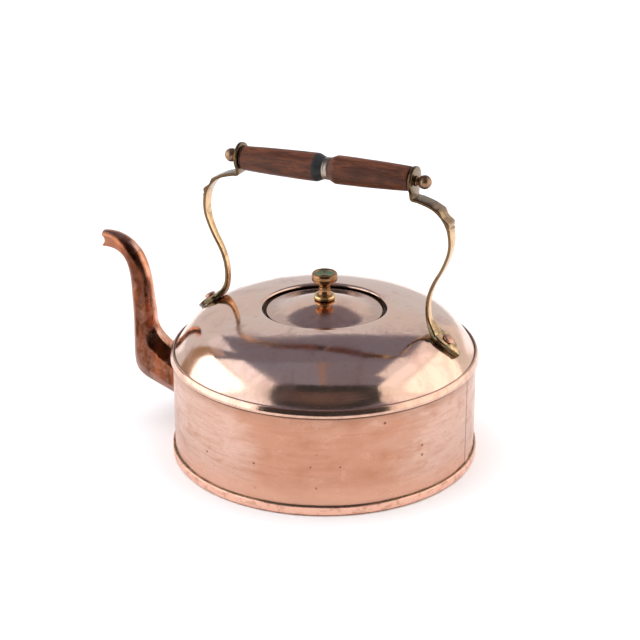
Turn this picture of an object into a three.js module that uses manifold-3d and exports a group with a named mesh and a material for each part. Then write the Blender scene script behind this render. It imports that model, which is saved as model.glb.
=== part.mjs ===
// Copper range kettle with a brass and wood bail, as an assembly of separate pieces.
// Millimetres, +Z up. The origin is the centre of the flat underside, on the body's axis.
// The spout points along -X ("front") and the handle runs along X above the lid.
import * as THREE from "three";
import { mergeVertices } from "three/addons/utils/BufferGeometryUtils.js";
import Module from "manifold-3d";

const wasm = await Module();
wasm.setup();

// ---- driving dimensions ----
const GAP = 0.3; // left between pieces that touch
const SHEET = 1.0; // copper sheet of the body
const ROUND = 56; // segments round the body
const FINE = 28; // segments round small turned pieces

const WALL_R = 119; // outside of the cylindrical wall
const HEM_R = 121.2; // outside of the folded hems at its foot and top
const BASE_HEM_TOP = 7.4;
const SHOULDER_HEM_LOW = 80;
const SHOULDER_Z = 85.4; // where the dome starts, inside its hem
const DOME_RIM_R = 53; // where the dome ends and the lip of the opening starts
const DOME_RIM_Z = 119.4;
const LIP_Z = 119.6;
const OPENING_R = 48.4;
const LEDGE_Z = 113.4; // the lid's rim rests here
const NECK_R = 43.4; // inside of the neck ring
const NECK_LOW = 98;

const LID_R = 45.6;
const LID_TOP = 126;
const LID_RIM_TOP = 117; // the flat outer ring of the lid, sunk below the lip
const LID_SHEET = 0.9;
const SKIRT_R = 42.9;
const SHANK_R = 2.5; // knob shank, handle rod and rivet shanks
const HOLE_CLEARANCE = 0.4;

const AXLE_Z = 232; // height of the handle rod
const HANDLE_X = 1.1; // the hand-fitted handle stands this far behind the body's axis
const EYE_X = 72.1; // middle of each strap's eye plate, from the handle's middle
const EYE_R = 11;
const EYE_THICK = 2.6;
const STRAP_THICK = 2.4;
const FOOT_THICK = 4.2;
const BALL_X = 80.2;
const BALL_R = 5.3;
const WAIST_X = 1.7; // the grip's collar, a little behind the middle
const WAIST_R = 8.6;
const WAIST_HALF = 2;
const BARREL_R = 11;
const BARREL_END_R = 9.4;
const BARREL_END_X = 69.2;

// ---- materials ----
const metal = (color, roughness) =>
  new THREE.MeshStandardMaterial({ color, roughness, metalness: 1 });
const copper = metal(0xd99a80, 0.22);
const wornCopper = metal(0xdb9c82, 0.38);
const spoutCopper = metal(0xb0654a, 0.4);
const brass = metal(0xb8874f, 0.3);
const agedBrass = metal(0x9c7a4c, 0.42);
const rivetCopper = metal(0xb86f55, 0.4);
const steel = metal(0x8b8782, 0.4);
const wood = new THREE.MeshStandardMaterial({ color: 0x6b3f2c, roughness: 0.5, metalness: 0 });

const kettle = new THREE.Group();

function place(name, geometry, material) {
  const mesh = new THREE.Mesh(geometry, material);
  mesh.name = name;
  kettle.add(mesh);
  return mesh;
}

// ---- geometry helpers ----
const v2 = (x, y) => new THREE.Vector2(x, y);
const v3 = (x, y, z) => new THREE.Vector3(x, y, z);

// Turns a profile of (radius, height) round Z.
function turned(path, segments = FINE, divisions = 6) {
  const points = path.getPoints ? path.getPoints(divisions) : path;
  return new THREE.LatheGeometry(points, segments).rotateX(Math.PI / 2);
}

// The same, lying along X: the profile's height is measured along X.
function turnedAlongX(path, segments = FINE, divisions = 6) {
  return turned(path, segments, divisions).rotateY(Math.PI / 2);
}

// A closed body from rings of points, each ring with as many points as the next.
function loft(rings) {
  const count = rings[0].length;
  const points = rings.flat();
  const index = [];
  for (let r = 0; r + 1 < rings.length; r++)
    for (let i = 0; i < count; i++) {
      const a = r * count + i;
      const b = r * count + ((i + 1) % count);
      index.push(a, b, b + count, a, b + count, a + count);
    }
  const cap = (start, flip) => {
    for (let i = 1; i + 1 < count; i++)
      index.push(...(flip ? [start, start + i + 1, start + i] : [start, start + i, start + i + 1]));
  };
  cap(0, true);
  cap((rings.length - 1) * count, false);
  return new THREE.BufferGeometry().setFromPoints(points).setIndex(index);
}

function solid(geometry) {
  const bare = geometry.clone();
  for (const name of Object.keys(bare.attributes)) if (name !== "position") bare.deleteAttribute(name);
  const merged = mergeVertices(bare, 1e-4);
  return new wasm.Manifold(
    new wasm.Mesh({
      numProp: 3,
      vertProperties: merged.attributes.position.array,
      triVerts: new Uint32Array(merged.index.array),
    }),
  );
}

function geometryOf(manifold) {
  const mesh = manifold.getMesh();
  return new THREE.BufferGeometry()
    .setAttribute("position", new THREE.BufferAttribute(mesh.vertProperties, mesh.numProp))
    .setIndex(new THREE.BufferAttribute(mesh.triVerts, 1));
}

// A cylinder from one point to another, for drilling.
function drill(from, to, radius, segments = 24) {
  const along = to.clone().sub(from);
  const geometry = new THREE.CylinderGeometry(radius, radius, along.length(), segments);
  const turn = new THREE.Quaternion().setFromUnitVectors(v3(0, 1, 0), along.clone().normalize());
  geometry.applyQuaternion(turn);
  const middle = from.clone().add(to).multiplyScalar(0.5);
  return solid(geometry.translate(middle.x, middle.y, middle.z));
}

// ---- the dome's profile, in (radius, height) ----
const domeCurve = new THREE.CubicBezierCurve(
  v2(118, SHOULDER_Z),
  v2(106.5, 98.5),
  v2(106, 115.5),
  v2(DOME_RIM_R, DOME_RIM_Z),
);

// A point on the dome at a radius, with its outward normal.
function onDome(radius) {
  let low = 0;
  let high = 1;
  for (let i = 0; i < 40; i++) {
    const middle = (low + high) / 2;
    if (domeCurve.getPoint(middle).x > radius) low = middle;
    else high = middle;
  }
  const tangent = domeCurve.getTangent(low);
  return { point: domeCurve.getPoint(low), normal: v2(tangent.y, -tangent.x) };
}

function offDome(radius, height) {
  const { point, normal } = onDome(radius);
  return point.clone().addScaledVector(normal, height);
}

// ---- body ----
function baseProfile() {
  const corner = 2.4;
  const inside = WALL_R + GAP;
  return new THREE.Path()
    .moveTo(0, 0)
    .lineTo(HEM_R - corner, 0)
    .quadraticCurveTo(HEM_R, 0, HEM_R, corner)
    .lineTo(HEM_R, BASE_HEM_TOP - 0.5)
    .lineTo(HEM_R - 0.6, BASE_HEM_TOP)
    .lineTo(inside, BASE_HEM_TOP)
    .lineTo(inside, SHEET + 0.2)
    .lineTo(0, SHEET + 0.2);
}

function wallProfile() {
  const low = SHEET + 0.2 + GAP;
  const high = SHOULDER_Z - SHEET - 2 * GAP;
  return [
    v2(WALL_R - SHEET, low),
    v2(WALL_R, low),
    v2(WALL_R, high),
    v2(WALL_R - SHEET, high),
    v2(WALL_R - SHEET, low),
  ];
}

function domeProfile() {
  const hemInside = WALL_R + GAP + 0.1;
  const underside = SHOULDER_Z - SHEET - GAP;
  const ridge = SHOULDER_Z + 0.9;
  const flangeLow = LEDGE_Z - 0.8;
  const flangeTop = LIP_Z - 2.2;
  const { v0: foot, v1: pull, v2: push } = domeCurve;
  return new THREE.Path()
    .moveTo(hemInside, SHOULDER_HEM_LOW)
    .lineTo(HEM_R - 0.2, SHOULDER_HEM_LOW)
    .lineTo(HEM_R, SHOULDER_HEM_LOW + 0.6)
    .lineTo(HEM_R, SHOULDER_Z - 2.4)
    .quadraticCurveTo(HEM_R, ridge, HEM_R - 2.4, ridge)
    .quadraticCurveTo(118.4, ridge, foot.x, foot.y)
    .bezierCurveTo(pull.x, pull.y, push.x, push.y, DOME_RIM_R, DOME_RIM_Z)
    .quadraticCurveTo(OPENING_R, LIP_Z + 0.2, OPENING_R, flangeTop)
    .lineTo(OPENING_R, flangeLow)
    .lineTo(OPENING_R + SHEET, flangeLow)
    .lineTo(OPENING_R + SHEET, flangeTop)
    .quadraticCurveTo(OPENING_R + SHEET, LIP_Z - SHEET, DOME_RIM_R, DOME_RIM_Z - SHEET)
    .bezierCurveTo(105, 114.6, 105.6, 97.9, 117, SHOULDER_Z - SHEET)
    .lineTo(116.9, underside)
    .lineTo(hemInside, underside)
    .lineTo(hemInside, SHOULDER_HEM_LOW);
}

function neckProfile() {
  const outside = OPENING_R - GAP;
  const bandTop = LEDGE_Z + 1.5;
  return new THREE.Path()
    .moveTo(NECK_R, NECK_LOW)
    .lineTo(NECK_R + 0.9, NECK_LOW)
    .lineTo(NECK_R + 0.9, LEDGE_Z - 0.9)
    .lineTo(outside, LEDGE_Z - 0.9)
    .lineTo(outside, bandTop)
    .lineTo(outside - 0.8, bandTop)
    .lineTo(outside - 0.8, LEDGE_Z)
    .lineTo(NECK_R + 0.8, LEDGE_Z)
    .quadraticCurveTo(NECK_R, LEDGE_Z, NECK_R, LEDGE_Z - 0.8)
    .lineTo(NECK_R, NECK_LOW);
}

// ---- spout ----
// Each station is one cut across the spout: a point on its lower or outer line, the matching
// point on its upper or inner line, both in (x, z), and the half width along Y.
const spoutStations = [
  { low: v2(-104, 12.8), high: v2(-104, 50.6), half: 15 },
  { low: v2(-122, 17.6), high: v2(-121.4, 54), half: 14.2 },
  { low: v2(-136, 22.2), high: v2(-133, 59.6), half: 13.4 },
  { low: v2(-150.4, 27), high: v2(-142, 65.6), half: 12.6 },
  { low: v2(-163, 32), high: v2(-147.6, 71), half: 11.8 },
  { low: v2(-169.8, 39.4), high: v2(-150.6, 76), half: 11.2 },
  { low: v2(-171.6, 51), high: v2(-152, 81.5), half: 10.6 },
  { low: v2(-171.6, 66), high: v2(-152.4, 88), half: 10 },
  { low: v2(-171.6, 82), high: v2(-153.2, 96), half: 9.5 },
  { low: v2(-172.1, 99), high: v2(-154.2, 106), half: 9.1 },
  { low: v2(-173.1, 114.6), high: v2(-155.8, 118), half: 8.7 },
  { low: v2(-174.9, 124.4), high: v2(-158.7, 129.2), half: 8.3 },
  { low: v2(-177.6, 131), high: v2(-163.8, 139.4), half: 7.9 },
  { low: v2(-181.6, 135.5), high: v2(-171.8, 147.4), half: 7.6 },
  { low: v2(-186.7, 138), high: v2(-181.6, 152.2), half: 7.2 },
  { low: v2(-192, 139), high: v2(-190.6, 153.6), half: 6.9 },
  { low: v2(-197.4, 139), high: v2(-197.4, 153.2), half: 6.6 },
];
const SPOUT_SHEET = 1.1;
const SPOUT_SIDES = 8;
const SPOUT_STEPS = 26;
const SPOUT_POINTS = 16;

// The outline of one cut: from round (octagon 0) to eight flats (1), with its sides pinched in.
function spoutRing(station, inset, octagon, pinch) {
  const middle = station.low.clone().add(station.high).multiplyScalar(0.5);
  const up = station.high.clone().sub(station.low).multiplyScalar(0.5);
  const halfHeight = up.length() - inset;
  const halfWidth = station.half - inset;
  up.normalize();
  const facet = (2 * Math.PI) / SPOUT_SIDES;
  const ring = [];
  for (let i = 0; i < SPOUT_POINTS; i++) {
    const angle = (2 * Math.PI * i) / SPOUT_POINTS + facet / 2;
    const fromFlat = ((angle + facet / 2) % facet) - facet / 2;
    const flat = Math.cos(facet / 2) / Math.cos(fromFlat);
    const reach = 1 + octagon * (flat / Math.cos(facet / 2) - 1) * 0.9;
    const squeeze = 1 - pinch * Math.cos(angle) ** 6;
    const across = Math.cos(angle) * halfWidth * reach * squeeze;
    const height = Math.sin(angle) * halfHeight * reach;
    ring.push(v3(middle.x + up.x * height, across, middle.y + up.y * height));
  }
  return ring;
}

function spoutBody(inset, startAt, endReach) {
  const lows = new THREE.CatmullRomCurve3(spoutStations.map((s) => v3(s.low.x, 0, s.low.y)));
  const highs = new THREE.CatmullRomCurve3(spoutStations.map((s) => v3(s.high.x, 0, s.high.y)));
  const halves = new THREE.SplineCurve(spoutStations.map((s, i) => v2(i, s.half)));
  const rings = [];
  for (let i = 0; i <= SPOUT_STEPS; i++) {
    const t = startAt + ((1 - startAt) * i) / SPOUT_STEPS;
    const low = lows.getPoint(t);
    const high = highs.getPoint(t);
    const station = { low: v2(low.x, low.z), high: v2(high.x, high.z), half: halves.getPoint(t).y };
    const octagon = THREE.MathUtils.clamp(1.15 - 1.2 * t, 0, 1);
    const pinch = 0.3 * THREE.MathUtils.smoothstep(t, 0.8, 1);
    rings.push(spoutRing(station, inset, octagon, pinch));
  }
  if (endReach) rings.push(rings.at(-1).map((p) => p.clone().add(v3(-endReach, 0, 0))));
  return solid(loft(rings.map((ring) => ring.slice().reverse())));
}

const spoutBore = spoutBody(SPOUT_SHEET, 0, 4);
const bodyCore = solid(
  turned([v2(0, -5), v2(WALL_R + GAP, -5), v2(WALL_R + GAP, 200), v2(0, 200)], ROUND),
);

place("base_plate", turned(baseProfile(), ROUND, 4), wornCopper);
place("body_wall", geometryOf(solid(turned(wallProfile(), ROUND)).subtract(spoutBore)), wornCopper);

// The mouth is cut back at both sides, which leaves an upper beak and a lower lip.
const mouthNotch = solid(new THREE.CylinderGeometry(4.6, 4.6, 24, 20).translate(-199.6, 0, 145.6));
place(
  "spout",
  geometryOf(spoutBody(0, 0, 0).subtract(spoutBore).subtract(mouthNotch).subtract(bodyCore)),
  spoutCopper,
);
place("neck_ring", turned(neckProfile(), ROUND, 3), copper);

// ---- dome, drilled for the rivets ----
const RIVET_REACH = 99.4; // from the handle's middle

function rivetLine(side, from, to) {
  const at = (height) => {
    const p = offDome(RIVET_REACH + side * HANDLE_X, height);
    return v3(side * p.x, 0, p.y);
  };
  return [at(from), at(to)];
}

function rivetHole(side) {
  const [from, to] = rivetLine(side, -8, 12);
  return drill(from, to, SHANK_R + GAP);
}

const FRONT = -1;
const REAR = 1;
place(
  "dome",
  geometryOf(solid(turned(domeProfile(), ROUND, 4)).subtract(rivetHole(FRONT)).subtract(rivetHole(REAR))),
  copper,
);

// ---- lid ----
function lidProfile() {
  const hole = SHANK_R + HOLE_CLEARANCE;
  const rimLow = LEDGE_Z + GAP;
  const under = LID_TOP - LID_SHEET;
  return new THREE.Path()
    .moveTo(hole, under)
    .bezierCurveTo(23.6, under, 29.4, LID_RIM_TOP + 0.7, LID_R - 1.6, LID_RIM_TOP - LID_SHEET)
    .lineTo(LID_R - LID_SHEET, LID_RIM_TOP - 1.6)
    .lineTo(LID_R - LID_SHEET, rimLow)
    .lineTo(LID_R, rimLow)
    .lineTo(LID_R, LID_RIM_TOP - 1)
    .quadraticCurveTo(LID_R, LID_RIM_TOP - 0.2, LID_R - 1.4, LID_RIM_TOP)
    .bezierCurveTo(30, LID_RIM_TOP + 1.6, 24, LID_TOP, hole, LID_TOP)
    .lineTo(hole, under);
}

function skirtProfile() {
  const inside = SKIRT_R - LID_SHEET;
  const low = NECK_LOW + 2;
  const top = LID_RIM_TOP - LID_SHEET - GAP;
  return [v2(inside, low), v2(SKIRT_R, low), v2(SKIRT_R, top), v2(inside, top), v2(inside, low)];
}

// Foot flange, ring, stem and dished bowl above the lid; shank and peened end below it.
function knobProfile() {
  const foot = LID_TOP + GAP;
  const peenTop = foot - 3;
  return new THREE.Path()
    .moveTo(0, peenTop - 1.4)
    .lineTo(2.4, peenTop - 1.4)
    .quadraticCurveTo(3.9, peenTop - 1.2, 3.9, peenTop)
    .lineTo(SHANK_R, peenTop)
    .lineTo(SHANK_R, foot)
    .lineTo(8.3, foot)
    .quadraticCurveTo(9.3, foot + 1, 8.3, foot + 1.8)
    .lineTo(7.4, foot + 2.1)
    .quadraticCurveTo(8.8, foot + 3.2, 7.2, foot + 4.2)
    .quadraticCurveTo(4.1, foot + 5.2, 3.9, foot + 8)
    .lineTo(3.9, foot + 11)
    .quadraticCurveTo(4.2, foot + 13, 6.8, foot + 14.2)
    .quadraticCurveTo(9.6, foot + 15.8, 9.5, foot + 18.6)
    .quadraticCurveTo(9.4, foot + 21.4, 8.2, foot + 21.4)
    .quadraticCurveTo(7.2, foot + 21.4, 6.8, foot + 20.2)
    .quadraticCurveTo(6, foot + 18.4, 0, foot + 18.2);
}

function washerProfile(inner, outer, low, high) {
  const edge = 0.3;
  return [
    v2(inner, low),
    v2(outer - edge, low),
    v2(outer, low + edge),
    v2(outer, high - edge),
    v2(outer - edge, high),
    v2(inner, high),
    v2(inner, low),
  ];
}

place("lid_cover", turned(lidProfile(), ROUND, 4), copper);
place("lid_skirt", turned(skirtProfile(), ROUND), copper);
place("lid_knob", turned(knobProfile(), FINE, 3), brass);
place(
  "knob_washer",
  turned(washerProfile(SHANK_R + HOLE_CLEARANCE, 6.4, LID_TOP - 2.4, LID_TOP - 1.2), FINE),
  agedBrass,
);

// ---- handle straps ----
// A strap's middle line in (x, z) from the handle's middle, from the eye's top down to the tip
// of its riveted foot, with the half width along Y. It is drawn for the rear strap.
function strapStations(side) {
  const stations = [];
  const add = (x, z, half, thick = EYE_THICK, bump = 0, edge = 0.6) =>
    stations.push({ x, z, half, thick, bump, edge });
  for (const degrees of [14, 34, 54, 74, 94, 114, 130])
    add(
      EYE_X,
      AXLE_Z + EYE_R * Math.cos(THREE.MathUtils.degToRad(degrees)),
      EYE_R * Math.sin(THREE.MathUtils.degToRad(degrees)),
    );
  add(EYE_X, 221, 7.2);
  add(EYE_X + 0.2, 219.8, 7.1);
  add(EYE_X + 1.4, 218.8, 7, STRAP_THICK);
  const sway = new THREE.SplineCurve([
    v2(77, 218.4),
    v2(82, 217.1),
    v2(86.6, 215.6),
    v2(91, 213.4),
    v2(94.5, 210.6),
    v2(97.4, 207.2),
    v2(99.7, 203.7),
    v2(101.3, 199.8),
    v2(102.3, 195),
    v2(102.8, 189.5),
    v2(102.5, 183.5),
    v2(101.1, 177.5),
    v2(98.6, 170.6),
    v2(95.6, 164),
    v2(91.4, 156.4),
    v2(88.2, 149),
    v2(86.2, 141.6),
    v2(85.5, 134.4),
    v2(85.6, 129.4),
  ]);
  const steps = 30;
  for (let i = 0; i <= steps; i++) {
    const t = i / steps;
    const p = sway.getPoint(t);
    const half = THREE.MathUtils.lerp(7.1, 3.4, THREE.MathUtils.smoothstep(t, 0.12, 0.88));
    add(p.x, p.y, half, STRAP_THICK, knuckle(t));
  }
  add(86, 126.4, 3.5, 2.7);
  add(87, 122.8, 4, 3.2);
  add(88.6, 119.5, 4.8, 3.7, 0, 0.8);
  add(90.4, 116.9, 6.4, FOOT_THICK, 0, 1.1);
  const leaf = [
    [92.2, 7.6],
    [94.4, 8.8],
    [97, 9.2],
    [99.6, 8.7],
    [102, 7.6],
    [104.2, 6],
    [106.2, 4.2],
    [107.8, 2.4],
    [109, 0.9],
  ];
  const lift = GAP + FOOT_THICK / 2;
  for (const [reach, half] of leaf) {
    const p = offDome(reach + side * HANDLE_X, lift);
    add(p.x - side * HANDLE_X, p.y, half, FOOT_THICK, 0, 1.4);
  }
  return stations;
}

// Extra thickness on the outer face: a low ridge, a hollow, a higher ridge and a fine bead.
function knuckle(t) {
  const swell = (at, height, spread) => height * Math.exp(-(((t - at) / spread) ** 2));
  return swell(0.21, 0.5, 0.02) - swell(0.26, 0.2, 0.02) + swell(0.35, 1.1, 0.03) + swell(0.41, 0.5, 0.01);
}

// A flat bar with broken edges, swept along the stations.
function strapBody(side) {
  const stations = strapStations(side);
  const rings = stations.map((s, i) => {
    const before = stations[Math.max(i - 1, 0)];
    const after = stations[Math.min(i + 1, stations.length - 1)];
    const along = v2(after.x - before.x, after.z - before.z).normalize();
    const out = v2(-along.y, along.x); // towards the outer face
    const cut = Math.min(s.edge, s.half * 0.4);
    const outer = s.thick / 2 + s.bump;
    const inner = -s.thick / 2;
    const corners = [
      [-s.half, inner + cut],
      [-s.half + cut, inner],
      [s.half - cut, inner],
      [s.half, inner + cut],
      [s.half, outer - cut],
      [s.half - cut, outer],
      [-s.half + cut, outer],
      [-s.half, outer - cut],
    ];
    return corners.map(([across, off]) => v3(s.x + out.x * off, across, s.z + out.y * off));
  });
  return solid(loft(rings));
}

function strap(side) {
  const turn = side === REAR ? 0 : 180;
  const body = strapBody(side).rotate([0, 0, turn]).translate([HANDLE_X, 0, 0]);
  const middle = HANDLE_X + side * EYE_X;
  const eye = drill(v3(middle - 8, 0, AXLE_Z), v3(middle + 8, 0, AXLE_Z), SHANK_R + GAP);
  return geometryOf(body.subtract(eye).subtract(rivetHole(side)));
}

place("handle_strap_front", strap(FRONT), agedBrass);
place("handle_strap_rear", strap(REAR), agedBrass);

// ---- rivets: button head outside, clenched end inside the dome ----
function rivet(side) {
  const headLow = 2 * GAP + FOOT_THICK;
  const clenchTop = -SHEET - 4 * GAP; // clear of the dome's hollow side
  const profile = new THREE.Path()
    .moveTo(0, clenchTop - 1.2)
    .lineTo(2.6, clenchTop - 1.2)
    .lineTo(3.8, clenchTop)
    .lineTo(SHANK_R, clenchTop)
    .lineTo(SHANK_R, headLow)
    .lineTo(4.5, headLow)
    .quadraticCurveTo(4.7, headLow + 1.2, 2.9, headLow + 1.8)
    .quadraticCurveTo(1.4, headLow + 2.1, 0, headLow + 2.1);
  const geometry = turned(profile, 20, 3);
  const [from, to] = rivetLine(side, 0, 1);
  geometry.applyQuaternion(new THREE.Quaternion().setFromUnitVectors(v3(0, 0, 1), to.clone().sub(from)));
  return geometry.translate(from.x, from.y, from.z);
}

place("rivet_front", rivet(FRONT), rivetCopper);
place("rivet_rear", rivet(REAR), rivetCopper);

// ---- rod, finials, washers and wooden grip, all on the rod's axis ----
function onRod(name, geometry, material, side = REAR) {
  const mesh = place(name, geometry, material);
  mesh.position.set(HANDLE_X, 0, AXLE_Z);
  if (side === FRONT) mesh.rotation.z = Math.PI;
}

const rodEnd = BALL_X - 1.2;
onRod(
  "handle_rod",
  turnedAlongX([v2(0, -rodEnd), v2(SHANK_R, -rodEnd), v2(SHANK_R, rodEnd), v2(0, rodEnd)], 24),
  steel,
);

function finialProfile() {
  const bore = SHANK_R + GAP;
  const collarR = 3.8;
  const face = EYE_X + EYE_THICK / 2 + GAP;
  const meet = Math.sqrt(BALL_R ** 2 - 3.2 ** 2);
  const start = Math.atan2(-meet, 3.2);
  return new THREE.Path()
    .moveTo(bore, face)
    .lineTo(collarR, face)
    .lineTo(collarR, face + 1.1)
    .lineTo(3.2, BALL_X - meet)
    .absarc(0, BALL_X, BALL_R, start, Math.PI / 2, false)
    .lineTo(0, BALL_X - 0.8)
    .lineTo(bore, BALL_X - 0.8)
    .lineTo(bore, face);
}

function barrelProfile(waistEnd, outerEnd) {
  const bore = SHANK_R + HOLE_CLEARANCE;
  const bevel = 5.2;
  return new THREE.Path()
    .moveTo(bore, waistEnd)
    .lineTo(WAIST_R - 0.1, waistEnd)
    .lineTo(BARREL_R - 0.5, waistEnd + bevel - 0.9)
    .quadraticCurveTo(BARREL_R, waistEnd + bevel, BARREL_R, waistEnd + bevel + 1.2)
    .quadraticCurveTo(BARREL_R - 0.3, (waistEnd + outerEnd) / 2, BARREL_END_R, outerEnd - 1)
    .lineTo(BARREL_END_R - 0.7, outerEnd)
    .lineTo(bore, outerEnd)
    .lineTo(bore, waistEnd);
}

const collarEdge = WAIST_HALF + GAP;
onRod(
  "grip_barrel_front",
  turnedAlongX(barrelProfile(collarEdge - WAIST_X, BARREL_END_X), FINE, 5),
  wood,
  FRONT,
);
onRod("grip_barrel_rear", turnedAlongX(barrelProfile(collarEdge + WAIST_X, BARREL_END_X), FINE, 5), wood);
onRod(
  "grip_collar",
  turnedAlongX(
    washerProfile(SHANK_R + HOLE_CLEARANCE, WAIST_R, WAIST_X - WAIST_HALF, WAIST_X + WAIST_HALF),
    FINE,
  ),
  steel,
);
for (const [name, side] of [
  ["front", FRONT],
  ["rear", REAR],
]) {
  const low = BARREL_END_X + GAP;
  const high = EYE_X - EYE_THICK / 2 - GAP;
  onRod(
    `grip_washer_${name}`,
    turnedAlongX(washerProfile(SHANK_R + HOLE_CLEARANCE, 8.8, low, high), FINE),
    agedBrass,
    side,
  );
  onRod(`finial_${name}`, turnedAlongX(finialProfile(), FINE, 4), agedBrass, side);
}

export default kettle;
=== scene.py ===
# Copper kettle: detailed pieces and procedural materials, built round the part's CAD nodes.
# The scene and the materials are in metres; sizes and outlines are in millimetres.
import math

import bmesh
import bpy
from mathutils import Matrix, Vector, noise


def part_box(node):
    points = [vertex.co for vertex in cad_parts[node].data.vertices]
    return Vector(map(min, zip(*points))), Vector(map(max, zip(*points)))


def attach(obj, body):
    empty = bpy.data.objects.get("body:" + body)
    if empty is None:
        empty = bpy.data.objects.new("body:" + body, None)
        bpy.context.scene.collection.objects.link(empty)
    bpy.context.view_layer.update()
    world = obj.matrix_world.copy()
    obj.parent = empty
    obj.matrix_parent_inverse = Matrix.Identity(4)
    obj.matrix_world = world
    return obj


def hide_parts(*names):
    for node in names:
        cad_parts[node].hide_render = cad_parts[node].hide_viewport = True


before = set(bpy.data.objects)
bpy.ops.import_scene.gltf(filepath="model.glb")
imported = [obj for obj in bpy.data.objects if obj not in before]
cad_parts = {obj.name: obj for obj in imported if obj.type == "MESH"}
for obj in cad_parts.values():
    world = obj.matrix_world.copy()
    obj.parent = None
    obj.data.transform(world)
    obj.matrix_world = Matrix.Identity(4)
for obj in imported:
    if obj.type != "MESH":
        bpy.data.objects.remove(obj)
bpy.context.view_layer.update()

MM = 0.001
TAU = 2 * math.pi
FRONT, REAR = -1, 1  # the spout points to the front, which is -X


# ---------------- sizes, from the CAD nodes
def reach(node, axis, high=True):
    """A node's extent along one axis, in millimetres."""
    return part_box(node)[1 if high else 0][axis] / MM


WALL_R = reach("body_wall", 1)
HEM_R = reach("base_plate", 1)
BASE_TOP = reach("base_plate", 2)
DOME_LOW = reach("dome", 2, high=False)
LID_R = reach("lid_cover", 1)
LID_TOP = reach("lid_cover", 2)
LID_LOW = reach("lid_cover", 2, high=False)
NECK_R = 43.4
NECK_OUT = reach("neck_ring", 1)
NECK_LOW = reach("neck_ring", 2, high=False)
OPENING_R = NECK_OUT + 0.3
SKIRT_R = reach("lid_skirt", 1)
KNOB_LOW = reach("lid_knob", 2, high=False)
ROD_X = (reach("handle_rod", 0) + reach("handle_rod", 0, high=False)) / 2
ROD_Z = (reach("handle_rod", 2) + reach("handle_rod", 2, high=False)) / 2
WALL_LOW, WALL_TOP = 1.5, 83.8
INSIDE_HEM_R = WALL_R + 0.45  # the base's hem and the dome's fold just clear of the wall
SHEET, BASE_SHEET, LID_SHEET, SPOUT_SHEET = 1.0, 1.2, 0.9, 1.1
DOME_CURVE = (118, 85.4), (106.5, 98.5), (106, 115.5), (53, 119.4)  # bead to lip, one cubic
LIP_Z = 119.6
LEDGE_Z = 113.4  # the lid sits here, inside the lip
LID_RIM_TOP = 117
LID_HOLE_R = 2.9
SHANK_R = 2.5
BODY_TURNS = 320  # facets round the body
# Places round the body, as angles from the rear (+X) towards +Y.
SEAM_FROM, SEAM_TO = math.radians(0.9), math.radians(6.6)  # the edges of the wall's lap
# Painted shade: the wall's colour is painted brownest round this angle, the side that faces the camera.
PAINTED_SHADE_MIDDLE = math.radians(-65)  # the wall is brownest here
PULLED_AT = math.radians(-56)  # the crown has been pulled up here, beside the opening
PULLED_BY, PULLED_SPREAD = 2.3, 0.85  # millimetres and radians


# ---------------- outlines
def lerp(a, b, t):
    return a + (b - a) * t


def smoothstep(t, low, high):
    t = min(max((t - low) / (high - low), 0), 1)
    return t * t * (3 - 2 * t)


def catmull(points, t):
    """A point of the uniform Catmull-Rom spline through the points, t from 0 to 1."""
    spans = len(points) - 1
    at = min(max(t, 0), 1) * spans
    i = min(int(at), spans - 1)
    w = at - i
    p0, p1 = points[max(i - 1, 0)], points[i]
    p2, p3 = points[i + 1], points[min(i + 2, spans)]
    made = []
    for a, b, c, d in zip(p0, p1, p2, p3):
        v0, v1 = (c - a) / 2, (d - b) / 2
        made.append((2 * (b - c) + v0 + v1) * w**3 + (3 * (c - b) - 2 * v0 - v1) * w**2 + v0 * w + b)
    return made


class Path:
    """An outline of (radius, height) points, drawn with lines and curves."""

    def __init__(self, x, y):
        self.points = [(x, y)]

    def line(self, x, y, steps=1):
        x0, y0 = self.points[-1]
        self.points += [(lerp(x0, x, i / steps), lerp(y0, y, i / steps)) for i in range(1, steps + 1)]
        return self

    def quad(self, cx, cy, x, y, steps=8):
        x0, y0 = self.points[-1]
        for i in range(1, steps + 1):
            t = i / steps
            a, b, c = (1 - t) ** 2, 2 * t * (1 - t), t * t
            self.points.append((a * x0 + b * cx + c * x, a * y0 + b * cy + c * y))
        return self

    def cubic(self, ax, ay, bx, by, x, y, steps=8):
        x0, y0 = self.points[-1]
        for i in range(1, steps + 1):
            t = i / steps
            a, b, c, d = (1 - t) ** 3, 3 * t * (1 - t) ** 2, 3 * t * t * (1 - t), t**3
            self.points.append((a * x0 + b * ax + c * bx + d * x, a * y0 + b * ay + c * by + d * y))
        return self

    def arc(self, cx, cy, radius, start, end, steps=8):
        for i in range(steps + 1):
            angle = lerp(start, end, i / steps)
            self.points.append((cx + radius * math.cos(angle), cy + radius * math.sin(angle)))
        return self


# ---------------- meshes
def finish_mesh(bm, sharp=38):
    """Welds, turns the faces outwards and shades smooth between edges sharper than the angle."""
    bmesh.ops.remove_doubles(bm, verts=bm.verts, dist=2e-6)
    bmesh.ops.recalc_face_normals(bm, faces=bm.faces)
    mesh = bpy.data.meshes.new("mesh")
    bm.to_mesh(mesh)
    bm.free()
    mesh.shade_smooth()
    mesh.set_sharp_from_angle(angle=math.radians(sharp))
    return mesh


def skin(rings, close_ends=False, sharp=38):
    """A surface through rings of points in millimetres; each ring is a closed loop."""
    bm = bmesh.new()
    made = [[bm.verts.new(Vector(p) * MM) for p in ring] for ring in rings]
    for low, high in zip(made, made[1:]):
        for i in range(len(low)):
            j = (i + 1) % len(low)
            bm.faces.new((low[i], low[j], high[j], high[i]))
    if close_ends:
        bm.faces.new(made[0])
        bm.faces.new(made[-1])
    return finish_mesh(bm, sharp)


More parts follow.
